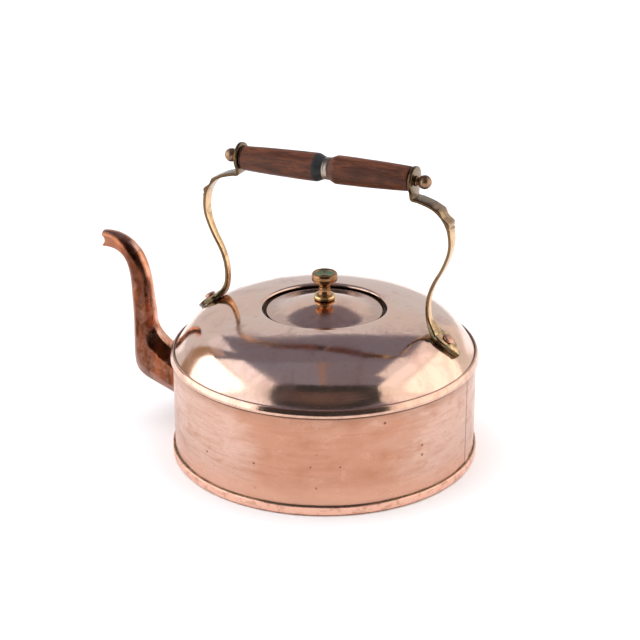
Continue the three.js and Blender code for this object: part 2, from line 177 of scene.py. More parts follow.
def lathe(path, segments=96, warp=None, sharp=38):
    """The outline turned round Z. warp(radius, height, angle) moves each point."""
    points = path.points
    bm = bmesh.new()
    columns = []
    for i in range(segments):
        angle = TAU * i / segments
        column = []
        for r, z in points:
            if warp and r > 1e-6:
                r, z = warp(r, z, angle)
            column.append(bm.verts.new(Vector((r * math.cos(angle), r * math.sin(angle), z)) * MM))
        columns.append(column)
    for i in range(segments):
        a, b = columns[i], columns[(i + 1) % segments]
        for j in range(len(points) - 1):
            corners = [a[j], b[j], b[j + 1], a[j + 1]]
            if points[j][0] < 1e-6 and points[j + 1][0] < 1e-6:
                continue
            if points[j][0] < 1e-6:
                corners.remove(b[j])
            elif points[j + 1][0] < 1e-6:
                corners.remove(b[j + 1])
            bm.faces.new(corners)
    return finish_mesh(bm, sharp)


def tube(line, radius, sides=8):
    """A closed tube round a closed loop of points in millimetres."""
    count = len(line)
    rings = []
    for i, p in enumerate(line):
        along = (line[(i + 1) % count] - line[i - 1]).normalized()
        side = along.cross(Vector((-1, 0, 0)) if abs(along.x) < 0.9 else Vector((0, 1, 0))).normalized()
        other = along.cross(side)
        turns = [TAU * k / sides for k in range(sides)]
        rings.append([p + radius * (side * math.cos(a) + other * math.sin(a)) for a in turns])
    return skin(rings + [rings[0]])


def piece(name, mesh, slot, looks, *nodes, body="kettle"):
    """Shows a mesh as a piece that rides on a body and stands for CAD nodes."""
    mesh.name = name
    obj = bpy.data.objects.new(name, mesh)
    bpy.context.scene.collection.objects.link(obj)
    for look in looks if isinstance(looks, list) else [looks]:
        mesh.materials.append(look)
    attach(obj, body)
    if nodes:
        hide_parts(*nodes)


def line_inside(mesh, test):
    """Gives the second material to the faces whose centre and normal pass the test."""
    for face in mesh.polygons:
        if test(face.center / MM, face.normal):
            face.material_index = 1


def wander(x, y, z, size, seed=0.0):
    """Smooth noise from about -1 to 1 whose features are about `size` millimetres."""
    return noise.noise(Vector((x / size + seed, y / size - seed, z / size + seed * 0.7)))


def dented(amount, size, seed, hold=None):
    """A warp for lathe: gentle hand-made unevenness, held still where hold() says."""

    def warp(r, z, angle):
        x, y = r * math.cos(angle), r * math.sin(angle)
        share = hold(r, z) if hold else 1
        shift = amount * share
        r += shift * wander(x, y, z, size, seed) + 0.35 * shift * wander(x, y, z, size * 0.4, seed + 5)
        z += shift * wander(x, y, z, size, seed + 11)
        return r, z

    return warp


# ---------------- materials
class Look:
    """A procedural material: a Principled shader fed by noise in the part's own coordinates."""

    def __init__(self, name, metallic=1.0):
        self.material = bpy.data.materials.new(name)
        self.material.use_nodes = True
        self.tree = self.material.node_tree
        self.shader = self.tree.nodes["Principled BSDF"]
        self.shader.inputs["Metallic"].default_value = metallic
        self.place = self.tree.nodes.new("ShaderNodeTexCoord").outputs["Object"]
        self.normal = None

    def feed(self, socket, value):
        if isinstance(value, bpy.types.NodeSocket):
            self.tree.links.new(value, socket)
        elif isinstance(value, (tuple, list)) and socket.type == "RGBA":
            socket.default_value = (*value, 1)
        else:
            socket.default_value = value

    def math(self, operation, a, b=0.0):
        node = self.tree.nodes.new("ShaderNodeMath")
        node.operation = operation
        for socket, value in zip(node.inputs, (a, b)):
            self.feed(socket, value)
        return node.outputs[0]

    def times(self, a, b):
        return self.math("MULTIPLY", a, b)

    def plus(self, a, b):
        return self.math("ADD", a, b)

    def minus(self, a, b):
        return self.math("SUBTRACT", a, b)

    def axis(self, which):
        node = self.tree.nodes.new("ShaderNodeSeparateXYZ")
        self.feed(node.inputs[0], self.place)
        return node.outputs[which]

    def facing(self, which):
        """The size of the surface normal along one of the part's axes."""
        geometry = self.tree.nodes.new("ShaderNodeNewGeometry")
        node = self.tree.nodes.new("ShaderNodeSeparateXYZ")
        self.feed(node.inputs[0], geometry.outputs["Normal"])
        return self.math("ABSOLUTE", node.outputs[which])

    def radius(self):
        """Distance from the kettle's axis, in metres."""
        x, y = self.axis("X"), self.axis("Y")
        return self.math("SQRT", self.plus(self.times(x, x), self.times(y, y)))

    def around(self):
        """The angle round the kettle's axis, in radians from +X."""
        return self.math("ARCTAN2", self.axis("Y"), self.axis("X"))

    def vector(self, x, y, z):
        node = self.tree.nodes.new("ShaderNodeCombineXYZ")
        for socket, value in zip(node.inputs, (x, y, z)):
            self.feed(socket, value)
        return node.outputs[0]

    def mapped(self, scale, move=(0, 0, 0)):
        """The part's own coordinates, scaled and then moved."""
        node = self.tree.nodes.new("ShaderNodeMapping")
        self.feed(node.inputs["Vector"], self.place)
        node.inputs["Scale"].default_value = scale
        node.inputs["Location"].default_value = move
        return node.outputs[0]

    def noise(self, size, detail=4, rough=0.6, source=None, distortion=0.0):
        """Noise from 0 to 1 with features of about `size` metres."""
        node = self.tree.nodes.new("ShaderNodeTexNoise")
        self.feed(node.inputs["Vector"], source or self.place)
        node.inputs["Scale"].default_value = 1 / size
        node.inputs["Detail"].default_value = detail
        node.inputs["Roughness"].default_value = rough
        node.inputs["Distortion"].default_value = distortion
        return node.outputs["Fac"]

    def spots(self, cell, size, share, source=None):
        """Scattered round spots: one in some cells, `size` is a share of the cell."""
        node = self.tree.nodes.new("ShaderNodeTexVoronoi")
        self.feed(node.inputs["Vector"], source or self.place)
        node.inputs["Scale"].default_value = 1 / cell
        split = self.tree.nodes.new("ShaderNodeSeparateColor")
        self.feed(split.inputs[0], node.outputs["Color"])
        chosen = self.span(split.outputs[0], 1 - share, 1 - share + 0.02)
        edge = self.times(split.outputs[1], size)
        near = self.minus(1.0, self.math("DIVIDE", node.outputs["Distance"], edge))
        return self.times(self.span(near, 0.0, 0.4), chosen)

    def span(self, value, low, high, to=(0.0, 1.0)):
        """Maps low..high smoothly onto `to`, and holds it outside."""
        node = self.tree.nodes.new("ShaderNodeMapRange")
        node.interpolation_type = "SMOOTHSTEP"
        for socket, v in zip(node.inputs, (value, low, high, to[0], to[1])):
            self.feed(socket, v)
        return node.outputs[0]

    def mix(self, share, a, b):
        node = self.tree.nodes.new("ShaderNodeMix")
        node.data_type = "RGBA"
        self.feed(node.inputs[0], share)
        self.feed(node.inputs[6], a)
        self.feed(node.inputs[7], b)
        return node.outputs[2]

    def colour(self, value):
        self.tone = value
        self.feed(self.shader.inputs["Base Color"], value)

    def paint(self, mask, tone, share=1.0):
        """Lays a tone over the colour so far: `share` of it where the mask is 1."""
        self.colour(self.mix(self.times(mask, share), self.tone, tone))

    def roughness(self, value):
        self.gloss = value
        self.feed(self.shader.inputs["Roughness"], value)

    def metallic(self, value):
        self.feed(self.shader.inputs["Metallic"], value)

    def bump(self, height, depth, strength=1.0):
        """Adds relief: height 0..1 is `depth` metres."""
        node = self.tree.nodes.new("ShaderNodeBump")
        node.inputs["Distance"].default_value = depth
        node.inputs["Strength"].default_value = strength
        self.feed(node.inputs["Height"], height)
        if self.normal:
            self.feed(node.inputs["Normal"], self.normal)
        self.normal = node.outputs[0]
        self.feed(self.shader.inputs["Normal"], self.normal)


def dome_look():
    """The dome, with its rolled hem duller and browner, a dark line in the valley behind it, and painted
    shade inside its lip.
    """
    look = polished_copper("copper_polished", 0.0)
    valley_r, inner_r, foot_x = 0.1181, 0.0494, 0.098
    r, ragged = look.radius(), look.noise(0.007, 5, 0.65, look.mapped((1, 1, 0.6)))
    outside = look.span(r, valley_r - 0.0003, valley_r + 0.0005)
    hem = look.times(outside, look.span(look.axis("Z"), 0.0872, 0.0866))
    look.paint(look.times(hem, look.span(ragged, 0.35, 0.65, (0.45, 1.0))), (0.60, 0.37, 0.28))
    away = look.math("ABSOLUTE", look.minus(r, valley_r))
    valley = look.span(look.plus(away, look.times(ragged, 0.0006)), 0.0011, 0.0003)
    look.paint(valley, (0.10, 0.07, 0.055), 0.8)
    look.roughness(look.plus(look.gloss, look.times(hem, 0.03)))
    # Painted shade: the inside of the lip, where it turns down into the opening, is painted nearly black.
    sunk = look.times(look.span(r, inner_r, inner_r - 0.0007), look.span(look.axis("Z"), 0.1188, 0.1174))
    look.paint(sunk, (0.09, 0.07, 0.055), 0.85)
    x, y = look.minus(look.math("ABSOLUTE", look.axis("X")), foot_x), look.axis("Y")
    near = look.math("SQRT", look.plus(look.times(x, x), look.times(y, y)))
    haze = look.times(look.span(near, 0.026, 0.009), look.span(ragged, 0.35, 0.6))
    look.paint(haze, (0.42, 0.31, 0.23), 0.5)
    return look.material


def lid_look():
    """The lid: more handled than the dome, with painted shade, nearly black, on its rim where it sinks into
    the opening.
    """
    look = polished_copper("copper_lid", 2.3, 0.03)
    ragged = look.noise(0.004, 5, 0.65)
    r, cloudy = look.radius(), look.noise(0.015, 5, 0.65)
    worn = look.span(look.plus(r, look.times(look.minus(cloudy, 0.5), 0.03)), 0.030, 0.042)
    look.paint(worn, (0.50, 0.335, 0.27), 0.6)
    # Painted shade: the rim, in the gap round the lid, is painted nearly black.
    edge = look.span(look.plus(r, look.times(ragged, 0.0004)), 0.0452, 0.0457)
    look.paint(edge, (0.09, 0.07, 0.055), 0.85)
    return look.material


def polished_copper(name, seed, dull=0.0):
    """Spun and polished copper with handling stains, fine rings and a few pits."""
    look = Look(name)
    place = look.mapped((1, 1, 1), move=(seed, seed * 0.7, 0))
    broad = look.noise(0.09, 3, 0.5, place)
    stain = look.noise(0.028, 6, 0.62, place, 0.6)
    fine = look.noise(0.006, 5, 0.6, place)
    rings = look.noise(0.0011, 2, 0.5, look.vector(look.radius(), look.axis("Z"), 0.0))
    look.colour(look.mix(look.span(broad, 0.35, 0.68), (0.80, 0.565, 0.46), (0.82, 0.53, 0.40)))
    look.paint(look.span(stain, 0.50, 0.68, (0, 0.5 + 6 * dull)), (0.62, 0.37, 0.30))
    look.paint(look.span(stain, 0.45, 0.30, (0, 0.4)), (0.80, 0.63, 0.54))
    look.paint(look.span(fine, 0.56, 0.72, (0, 0.3)), (0.56, 0.35, 0.27))
    pits = look.spots(0.010, 0.12, 0.4, place)
    look.paint(pits, (0.22, 0.11, 0.08), 0.75)
    rough = look.span(stain, 0.4, 0.75, (0.10 + dull, 0.20 + dull))
    look.roughness(look.plus(rough, look.span(fine, 0.45, 0.75, (0.0, 0.06))))
    look.bump(broad, 0.0012, 0.35)
    look.bump(rings, 0.00003, 0.5)
    look.bump(look.minus(fine, pits), 0.00012, 0.4)
    return look


def wall_copper(name):
    """Satin, oxidised copper sheet: soft clouds and fine lines round it, smears and dark pits, and painted
    shade that makes the side facing the camera browner.
    """
    look = Look(name)
    cloud = look.noise(0.045, 4, 0.5, look.mapped((1, 1, 2.2)), 0.4)
    lines = look.noise(0.012, 5, 0.6, look.mapped((0.35, 0.35, 3.2), move=(3, 1, 2)), 0.2)
    smear = look.noise(0.02, 6, 0.62, look.mapped((1, 1, 1.6), move=(5, 3, 1)), 0.25)
    grain = look.noise(0.003, 4, 0.6, look.mapped((1, 1, 2.0)))
    # Painted shade: the browner tone grows towards the side that faces the camera, mixed with the random
    # clouds.
    away = look.math("ABSOLUTE", look.minus(look.around(), PAINTED_SHADE_MIDDLE))
    brown = look.plus(look.span(away, 0.9, 0.2), look.times(look.minus(cloud, 0.5), 1.6))
    look.colour(look.mix(look.span(brown, 0.0, 1.0), (0.64, 0.41, 0.325), (0.53, 0.265, 0.175)))
    look.paint(look.span(lines, 0.45, 0.66, (0, 0.36)), (0.43, 0.20, 0.125))
    look.paint(look.span(smear, 0.51, 0.70, (0, 0.48)), (0.45, 0.195, 0.11))
    look.paint(look.span(smear, 0.43, 0.27, (0, 0.35)), (0.70, 0.44, 0.35))
    look.paint(look.span(grain, 0.5, 0.8, (0, 0.2)), (0.42, 0.21, 0.14))
    pits = look.spots(0.009, 0.16, 0.6)
    specks = look.spots(0.006, 0.10, 0.12, look.mapped((1, 1, 1), move=(2, 2, 2)))
    look.paint(pits, (0.16, 0.06, 0.04), 0.85)
    look.paint(specks, (0.26, 0.10, 0.07), 0.6)
    look.roughness(look.span(smear, 0.3, 0.7, (0.25, 0.38)))
    look.bump(cloud, 0.0008, 0.2)
    look.bump(look.minus(grain, look.times(pits, 2.0)), 0.00016, 0.35)
    return look


def wall_look():
    """The wall: browner under the shoulder hem, with dark lines where its lapped ends meet."""
    look = wall_copper("copper_wall")
    z, around = look.axis("Z"), look.around()
    ragged = look.noise(0.01, 4, 0.6, look.mapped((0.6, 0.6, 1)))
    high = look.span(look.plus(z, look.times(ragged, 0.010)), 0.073, 0.086)
    look.paint(high, (0.36, 0.185, 0.12), 0.6)
    low = look.span(look.plus(z, look.times(ragged, 0.008)), 0.034, 0.012)
    look.paint(low, (0.74, 0.415, 0.30), 0.75)
    under = look.span(look.plus(z, look.times(ragged, 0.0005)), 0.0780, 0.0789)
    look.paint(under, (0.08, 0.05, 0.04), 0.85)
    for edge, width, dark in ((SEAM_FROM, 0.010, 0.85), (SEAM_TO, 0.006, 0.6)):
        away = look.math("ABSOLUTE", look.minus(around, edge))
        line = look.span(look.plus(away, look.times(ragged, 0.004)), width, 0.3 * width)
        look.paint(line, (0.10, 0.06, 0.045), dark)
    return look.material


def hem_look():
    """The base hem: cleaner, pinker copper, mottled brown, with grey-green solder along its top."""
    look = wall_copper("copper_hem")
    z = look.axis("Z")
    mottle = look.noise(0.008, 5, 0.65, look.mapped((1, 1, 1.5), move=(7, 2, 0)))
    look.paint(0.8, (1.0, 0.60, 0.46))
    look.paint(look.span(mottle, 0.49, 0.62, (0, 0.6)), (0.52, 0.26, 0.17))
    ragged = look.noise(0.012)
    top = look.span(look.plus(z, look.times(ragged, 0.0010)), 0.0076, 0.0081)
    look.paint(top, (0.22, 0.18, 0.11), 0.7)
    return look.material


def spout_look():
    """Tarnished red-brown copper, with painted shade on the sides that face ±Y and a painted highlight
    along its front and back edges.
    """
    look = Look("copper_spout")
    streak = look.noise(0.02, 5, 0.62, look.mapped((1.6, 1.6, 0.45)), 0.6)
    blotch = look.noise(0.011, 6, 0.65, look.mapped((1, 1, 0.8), move=(5, 2, 1)), 0.8)
    grain = look.noise(0.003)
    dark = look.mix(look.span(streak, 0.35, 0.66), (0.09, 0.023, 0.009), (0.28, 0.08, 0.031))
    light = look.mix(look.span(blotch, 0.35, 0.65), (0.56, 0.24, 0.14), (0.78, 0.49, 0.39))
    # Painted shade and painted highlight: the sides that face ±Y get the dark tone, the edges the light
    # one, broken up by blotches.
    side = look.span(look.facing("Y"), 0.25, 0.8)
    look.colour(look.mix(look.times(side, look.span(blotch, 0.75, 0.35, (0.8, 1.0))), light, dark))
    look.paint(look.span(look.axis("X"), -0.17, -0.195, (0, 0.5)), (0.56, 0.24, 0.14))
    look.paint(look.spots(0.006, 0.2, 0.2), (0.16, 0.08, 0.05), 0.6)
    look.roughness(look.span(blotch, 0.3, 0.75, (0.15, 0.34)))
    look.bump(streak, 0.0008, 0.35)
    look.bump(grain, 0.00015, 0.35)
    return look.material


def strap_look():
    """Aged cast brass: golden below and brown-grey above, brass colour with painted highlight below and
    painted shade above; painted shade on its narrow sides; green-black grime at its foot.
    """
    look = Look("brass_aged")
    broad = look.noise(0.014, 5, 0.62, None, 0.7)
    fine = look.noise(0.0024, 5, 0.62)
    z = look.axis("Z")
    # Painted highlight and painted shade: the brass is painted golden below and dark brown-grey over the
    # top of the strap.
    look.colour(look.mix(look.span(z, 0.19, 0.22), (0.72, 0.47, 0.27), (0.20, 0.14, 0.085)))
    # Painted shade: the narrow sides, which face ±Y, are painted dark.
    look.paint(look.span(look.facing("Y"), 0.3, 0.7, (0, 0.85)), (0.075, 0.042, 0.018))
    look.paint(look.span(broad, 0.47, 0.66, (0, 0.6)), (0.12, 0.08, 0.045))
    look.paint(look.span(fine, 0.5, 0.72, (0, 0.5)), (0.20, 0.13, 0.07))
    patch = look.times(look.span(z, 0.124, 0.112), look.span(look.noise(0.004, 5, 0.65), 0.42, 0.62))
    look.paint(patch, (0.10, 0.12, 0.07), 0.8)
    look.roughness(look.span(broad, 0.3, 0.75, (0.14, 0.32)))
    look.bump(broad, 0.0006, 0.35)
    look.bump(fine, 0.00015, 0.4)
    return look.material


def tin_look():
    """The tinned inside: dull grey with brown scale."""
    look = Look("tin_lining")
    cloud = look.noise(0.03, 6, 0.6, None, 0.8)
    spangle = look.noise(0.005)
    look.colour(look.mix(look.span(cloud, 0.4, 0.7), (0.50, 0.48, 0.45), (0.30, 0.25, 0.20)))
    look.paint(look.span(spangle, 0.55, 0.75, (0, 0.4)), (0.55, 0.54, 0.52))
    look.roughness(look.span(cloud, 0.3, 0.7, (0.4, 0.62)))
    look.bump(spangle, 0.0003, 0.4)
    return look.material


def wood_look(name, black_from=None, black_to=None):
    """Dark red-brown turned hardwood: long grain, open pores, rubbed and blackened places."""
    look = Look(name, metallic=0.0)
    figure = look.noise(0.0055, 5, 0.6, look.mapped((0.16, 1, 1)), 0.9)
    fibre = look.noise(0.0009, 4, 0.65, look.mapped((0.07, 1, 1), move=(2, 0, 0)))
    pores = look.spots(0.0015, 0.6, 0.6, look.mapped((0.22, 1, 1), move=(1, 3, 2)))
    rub = look.noise(0.018, 4, 0.6, look.mapped((0.5, 1, 1), move=(4, 1, 0)))
    look.colour(look.mix(look.span(figure, 0.34, 0.68), (0.058, 0.015, 0.0055), (0.145, 0.040, 0.014)))
    look.paint(look.span(fibre, 0.48, 0.64, (0, 0.8)), (0.030, 0.010, 0.005))
    look.paint(look.span(rub, 0.52, 0.74, (0, 0.5)), (0.24, 0.072, 0.026))
    look.paint(look.span(rub, 0.44, 0.28, (0, 0.7)), (0.030, 0.012, 0.008))
    look.paint(pores, (0.05, 0.02, 0.012), 0.7)
    if black_from is not None:
        ragged = look.noise(0.004)
        edge = look.plus(look.axis("X"), look.times(ragged, 0.0012))
        worn = look.span(ragged, 0.62, 0.72, (1.0, 0.6))
        look.paint(look.times(look.span(edge, black_from, black_to), worn), (0.020, 0.021, 0.022))
    look.roughness(look.span(figure, 0.3, 0.7, (0.38, 0.52)))
    look.shader.inputs["Specular IOR Level"].default_value = 0.28
    look.bump(fibre, 0.00025, 0.5)
    look.bump(look.minus(1.0, pores), 0.00025, 0.5)
    return look.material


def steel_look():
    """The dull collar and rod, with fine turning marks."""
    look = Look("steel_grey")
    broad = look.noise(0.006, 5, 0.6)
    rings = look.noise(0.0006, 3, 0.5, look.mapped((1, 0.05, 0.05)))
    look.colour(look.mix(look.span(broad, 0.4, 0.7), (0.40, 0.34, 0.29), (0.22, 0.18, 0.15)))
    look.paint(look.span(rings, 0.55, 0.75, (0, 0.4)), (0.2, 0.17, 0.15))
    look.roughness(look.span(broad, 0.3, 0.7, (0.25, 0.42)))
    look.bump(rings, 0.0001, 0.4)
    return look.material


def knob_look(cup_z, ring_low, ring_high):
    """Polished brass knob with verdigris in its cup and a painted highlight, a bright ring, at its foot."""
    look = Look("brass_knob")
    broad = look.noise(0.006, 5, 0.6, None, 0.6)
    fine = look.noise(0.0014)
    z = look.axis("Z")
    look.colour(look.mix(look.span(broad, 0.4, 0.7), (0.33, 0.18, 0.085), (0.22, 0.105, 0.05)))
    # Painted highlight: a bright ring is painted round the knob's foot.
    above, below = look.span(z, ring_low, ring_low + 0.0005), look.span(z, ring_high + 0.0005, ring_high)
    look.paint(look.times(above, below), (0.78, 0.58, 0.27), 0.8)
    inside = look.times(look.span(z, cup_z, cup_z + 0.0006), look.span(look.radius(), 0.0079, 0.0070))
    crust = look.times(inside, look.span(broad, 0.3, 0.5, (0.75, 1.0)))
    look.paint(crust, look.mix(look.span(fine, 0.4, 0.65), (0.10, 0.145, 0.09), (0.20, 0.25, 0.16)))
    look.roughness(look.plus(look.span(broad, 0.3, 0.75, (0.14, 0.30)), look.times(crust, 0.45)))
    look.metallic(look.minus(1.0, look.times(crust, 0.85)))
    look.bump(fine, 0.0001, 0.4)
    return look.material


def plain_metal(name, tones, gloss, size=0.005):
    """A small worn metal piece of two mixed tones."""
    look = Look(name)
    broad = look.noise(size, 5, 0.62, None, 0.6)
    fine = look.noise(size * 0.25)
    look.colour(look.mix(look.span(broad, 0.38, 0.68), *tones))
    look.paint(look.span(fine, 0.55, 0.8, (0, 0.5)), tuple(0.45 * v for v in tones[1]))
    look.roughness(look.span(broad, 0.3, 0.7, gloss))
    look.bump(fine, 0.0002, 0.4)
    return look.material


# ---------------- body
def lap(angle):
    """How far the lapped edge of the sheet stands out, with its two cut edges sunk a little."""
    on = smoothstep(angle, SEAM_FROM, SEAM_FROM + 0.004) * (1 - smoothstep(angle, SEAM_TO - 0.004, SEAM_TO))
    sunk = sum(math.exp(-(((angle - edge) / 0.0045) ** 2)) for edge in (SEAM_FROM, SEAM_TO))
    return 0.35 * on - 0.45 * sunk


def body_warp(r, z, angle):
    """One field of gentle dents for everything soldered to the body, so its pieces stay together."""
    upright = smoothstep(z, 0.5, 6) * smoothstep(r, OPENING_R - 2, OPENING_R + 14)
    return dented(0.22 * upright, 52, 3.0)(r, z, angle)


def wall_warp(r, z, angle):
    turn = angle if angle < math.pi else angle - TAU
    r, z = body_warp(r, z, angle)
    return r + lap(turn), z


def spout_line(k, inset):
    """One lengthwise line of the spout, as a function of t from 0 (root) to 1 (tip)."""
    angle = TAU * k / SPOUT_SIDES
    facet = TAU / 8
    from_flat = ((angle + facet / 2) % facet) - facet / 2
    from_flat *= 1 - 0.10 * abs(from_flat / (facet / 2)) ** 5
    corner = 1 / math.cos(from_flat)

    def at(t):
        low_x, low_z, high_x, high_z, half = catmull(SPOUT_STATIONS, t)
        middle = Vector(((low_x + high_x) / 2, (low_z + high_z) / 2))
        up = Vector(((high_x - low_x) / 2, (high_z - low_z) / 2))
        tall = up.length
        up.normalize()
        octagon = min(max(1.15 - 1.2 * t, 0), 1)
        pinch = 0.3 * smoothstep(t, 0.8, 1)
        out = 1 + octagon * (corner - 1) * 0.9
        across = math.cos(angle) * (half * out - inset) * (1 - pinch * math.cos(angle) ** 6)
        rise = math.sin(angle) * (tall * out - inset)
        p = Vector((middle.x + up.x * rise, across, middle.y + up.y * rise))
        hammered = 0.22 * (1 - 0.6 * t)
        p.y += hammered * wander(p.x, p.y, p.z, 15, 8)
        p.x += hammered * wander(p.x, p.y, p.z, 17, 21)
        return p

    return at


# Along the spout from root to tip: the x and z of its lowest and highest lines, and half its width.
SPOUT_STATIONS = [
    (-104, 12.8, -104, 50.6, 15),
    (-122, 17.6, -121.4, 54, 14.2),
    (-136, 22.2, -133, 59.6, 13.4),
    (-150.4, 27, -142, 65.6, 12.6),
    (-163, 32, -147.6, 71, 11.8),
    (-169.8, 39.4, -150.6, 76, 11.2),
    (-171.6, 51, -152, 81.5, 10.6),
    (-171.6, 66, -152.4, 88, 10),
    (-171.6, 82, -153.2, 96, 9.5),
    (-172.1, 99, -154.2, 106, 9.1),
    (-173.1, 114.6, -155.8, 118, 8.7),
    (-174.9, 124.4, -158.7, 129.2, 8.3),
    (-177.6, 131, -163.8, 139.4, 7.9),
    (-181.6, 135.5, -171.8, 147.4, 7.6),
    (-186.7, 138, -181.6, 152.2, 7.2),
    (-192, 139, -190.6, 153.6, 6.9),
    (-197.4, 139, -197.4, 153.2, 6.6),
]
SPOUT_SIDES, SPOUT_STEPS = 64, 90
NOTCH_X, NOTCH_Z, NOTCH_R = -199.6, 145.6, 4.6


def crossing(at, low, high, test):
    """The t between low and high at which test(point) turns from false to true."""
    for _ in range(24):
        middle = (low + high) / 2
        if test(at(middle)):
            high = middle
        else:
            low = middle
    return high


def spout_surface(inset):
    """Rings from root to tip: trimmed to the wall, and to the notch in the tip."""
    lines = []
    for k in range(SPOUT_SIDES):
        at = spout_line(k, inset)
        start = crossing(at, 0, 0.3, lambda p: math.hypot(p.x, p.y) > WALL_R + 0.1)
        end = 1.0
        if abs(at(1).z - NOTCH_Z) < NOTCH_R:
            end = crossing(at, 0.8, 1, lambda p: math.hypot(p.x - NOTCH_X, p.z - NOTCH_Z) < NOTCH_R)
        lines.append([at(lerp(start, end, i / SPOUT_STEPS)) for i in range(SPOUT_STEPS + 1)])
    return [[line[i] for line in lines] for i in range(SPOUT_STEPS + 1)]


def build_body():
    wall_path = (
        Path(WALL_R - SHEET, WALL_LOW)
        .line(WALL_R, WALL_LOW)
        .line(WALL_R, WALL_TOP, 30)
        .line(WALL_R - SHEET, WALL_TOP)
        .line(WALL_R - SHEET, WALL_LOW, 12)
    )
    mesh = lathe(wall_path, BODY_TURNS, wall_warp)
    line_inside(mesh, lambda c, n: c.x * n.x + c.y * n.y < -1)
    piece("body_wall_sheet", mesh, "copper_wall", [wall, tin], "body_wall")

    base_path = (
        Path(0, 0)
        .line(HEM_R - 3.2, 0, 10)
        .quad(HEM_R - 0.1, 0, HEM_R, 2.6)
        .line(HEM_R - 0.15, BASE_TOP - 0.8, 4)
        .quad(HEM_R - 0.15, BASE_TOP, HEM_R - 0.9, BASE_TOP, 4)
        .line(INSIDE_HEM_R, BASE_TOP)
        .line(INSIDE_HEM_R, BASE_SHEET, 3)
        .line(0, BASE_SHEET, 12)
    )

    def hem_warp(r, z, angle):
        r, z = body_warp(r, z, angle)
        x, y = r * math.cos(angle), r * math.sin(angle)
        loose = smoothstep(r, WALL_R - 4, WALL_R) * smoothstep(z, 0.2, 4)
        r += loose * 0.22 * wander(x, y, z, 17, 31)
        return r, z + loose * 0.25 * wander(x, y, 0, 30, 37)

    mesh = lathe(base_path, BODY_TURNS, hem_warp)
    line_inside(mesh, lambda c, n: n.z > 0.7 and math.hypot(c.x, c.y) < WALL_R - 2)
    piece("base_and_hem", mesh, "copper_wall", [hem, tin], "base_plate")

    bead = Path(WALL_R - 0.1, BASE_TOP - 0.2)
    bead.arc(WALL_R + 0.42, BASE_TOP - 0.05, 0.46, 0.0, math.pi, 8)
    bead.line(WALL_R - 0.1, BASE_TOP - 0.2)

    def bead_warp(r, z, angle):
        r, z = hem_warp(r, z, angle)
        x, y = r * math.cos(angle), r * math.sin(angle)
        return r + 0.16 * wander(x, y, z, 7, 3), z + 0.22 * wander(x, y, z, 9, 13)

    mesh = lathe(bead, BODY_TURNS, bead_warp)
    piece("base_solder_line", mesh, "brass_aged", solder)

    start, pull, push, rim = DOME_CURVE
    dome_path = (
        Path(INSIDE_HEM_R, DOME_LOW)
        .line(HEM_R - 0.9, DOME_LOW)
        .quad(HEM_R - 0.1, DOME_LOW, HEM_R - 0.05, DOME_LOW + 1.2, 6)
        .line(HEM_R, 80.9, 2)
        .quad(HEM_R, 82.0, HEM_R - 0.35, 83.0, 6)
        .line(HEM_R - 1.05, 85.0, 5)
        .quad(HEM_R - 1.5, 86.5, 118.6, 86.5, 8)
        .quad(118.0, 86.35, start[0] + 0.05, start[1] + 0.1, 6)
        .cubic(*pull, *push, *rim, 84)
        .quad(OPENING_R, LIP_Z + 0.2, OPENING_R, LIP_Z - 2.2, 12)
        .line(OPENING_R, LEDGE_Z - 0.8, 4)
        .line(OPENING_R + SHEET, LEDGE_Z - 0.8)
        .line(OPENING_R + SHEET, LIP_Z - 2.2, 4)
        .quad(OPENING_R + SHEET, LIP_Z - SHEET, rim[0], rim[1] - SHEET, 6)
        .cubic(105, 114.6, 105.6, 97.9, 117, 84.4, 40)
        .line(117, 84.1)
        .line(INSIDE_HEM_R, 84.1)
        .line(INSIDE_HEM_R, DOME_LOW, 2)
    )

    def dome_warp(r, z, angle):
        away = math.remainder(angle - PULLED_AT, TAU) / PULLED_SPREAD
        lift = PULLED_BY * math.exp(-(away**2)) * (1 - smoothstep(r, 52, 112))
        if r < OPENING_R + 1.3:
            lift *= smoothstep(z, 113, 117)
        r, z = body_warp(r, z, angle)
        return r, z + lift

    mesh = lathe(dome_path, BODY_TURNS, dome_warp)
    line_inside(mesh, lambda c, n: OPENING_R + 0.4 < math.hypot(c.x, c.y) < 117.5 and n.z < -0.05)
    piece("dome_and_lip", mesh, "copper_polished", [copper, tin], "dome")

    neck = (
        Path(NECK_R, NECK_LOW)
        .line(NECK_R + 0.9, NECK_LOW)
        .line(NECK_R + 0.9, LEDGE_Z - 0.9, 6)
        .line(NECK_OUT, LEDGE_Z - 0.9)
        .line(NECK_OUT, LEDGE_Z + 1.5)
        .line(NECK_OUT - 0.8, LEDGE_Z + 1.5)
        .line(NECK_OUT - 0.8, LEDGE_Z)
        .line(NECK_R + 0.8, LEDGE_Z)
        .quad(NECK_R, LEDGE_Z, NECK_R, LEDGE_Z - 0.8, 5)
        .line(NECK_R, NECK_LOW, 6)
    )
    piece("neck_and_ledge", lathe(neck, 160), "copper_polished", neck_copper, "neck_ring")

    outer, inner = spout_surface(0), spout_surface(SPOUT_SHEET)
    mesh = skin([inner[0], *outer, *inner[::-1]], sharp=28)
    piece("spout_shell", mesh, "copper_spout", spout_copper, "spout")
    root = [p + Vector((-0.2, 0, 0)) for p in outer[0]]
    for p in root:
        p.x += 0.3 * wander(p.x, p.y, p.z, 5, 2)
    piece("spout_solder_line", tube(root, 0.85), "brass_aged", solder)


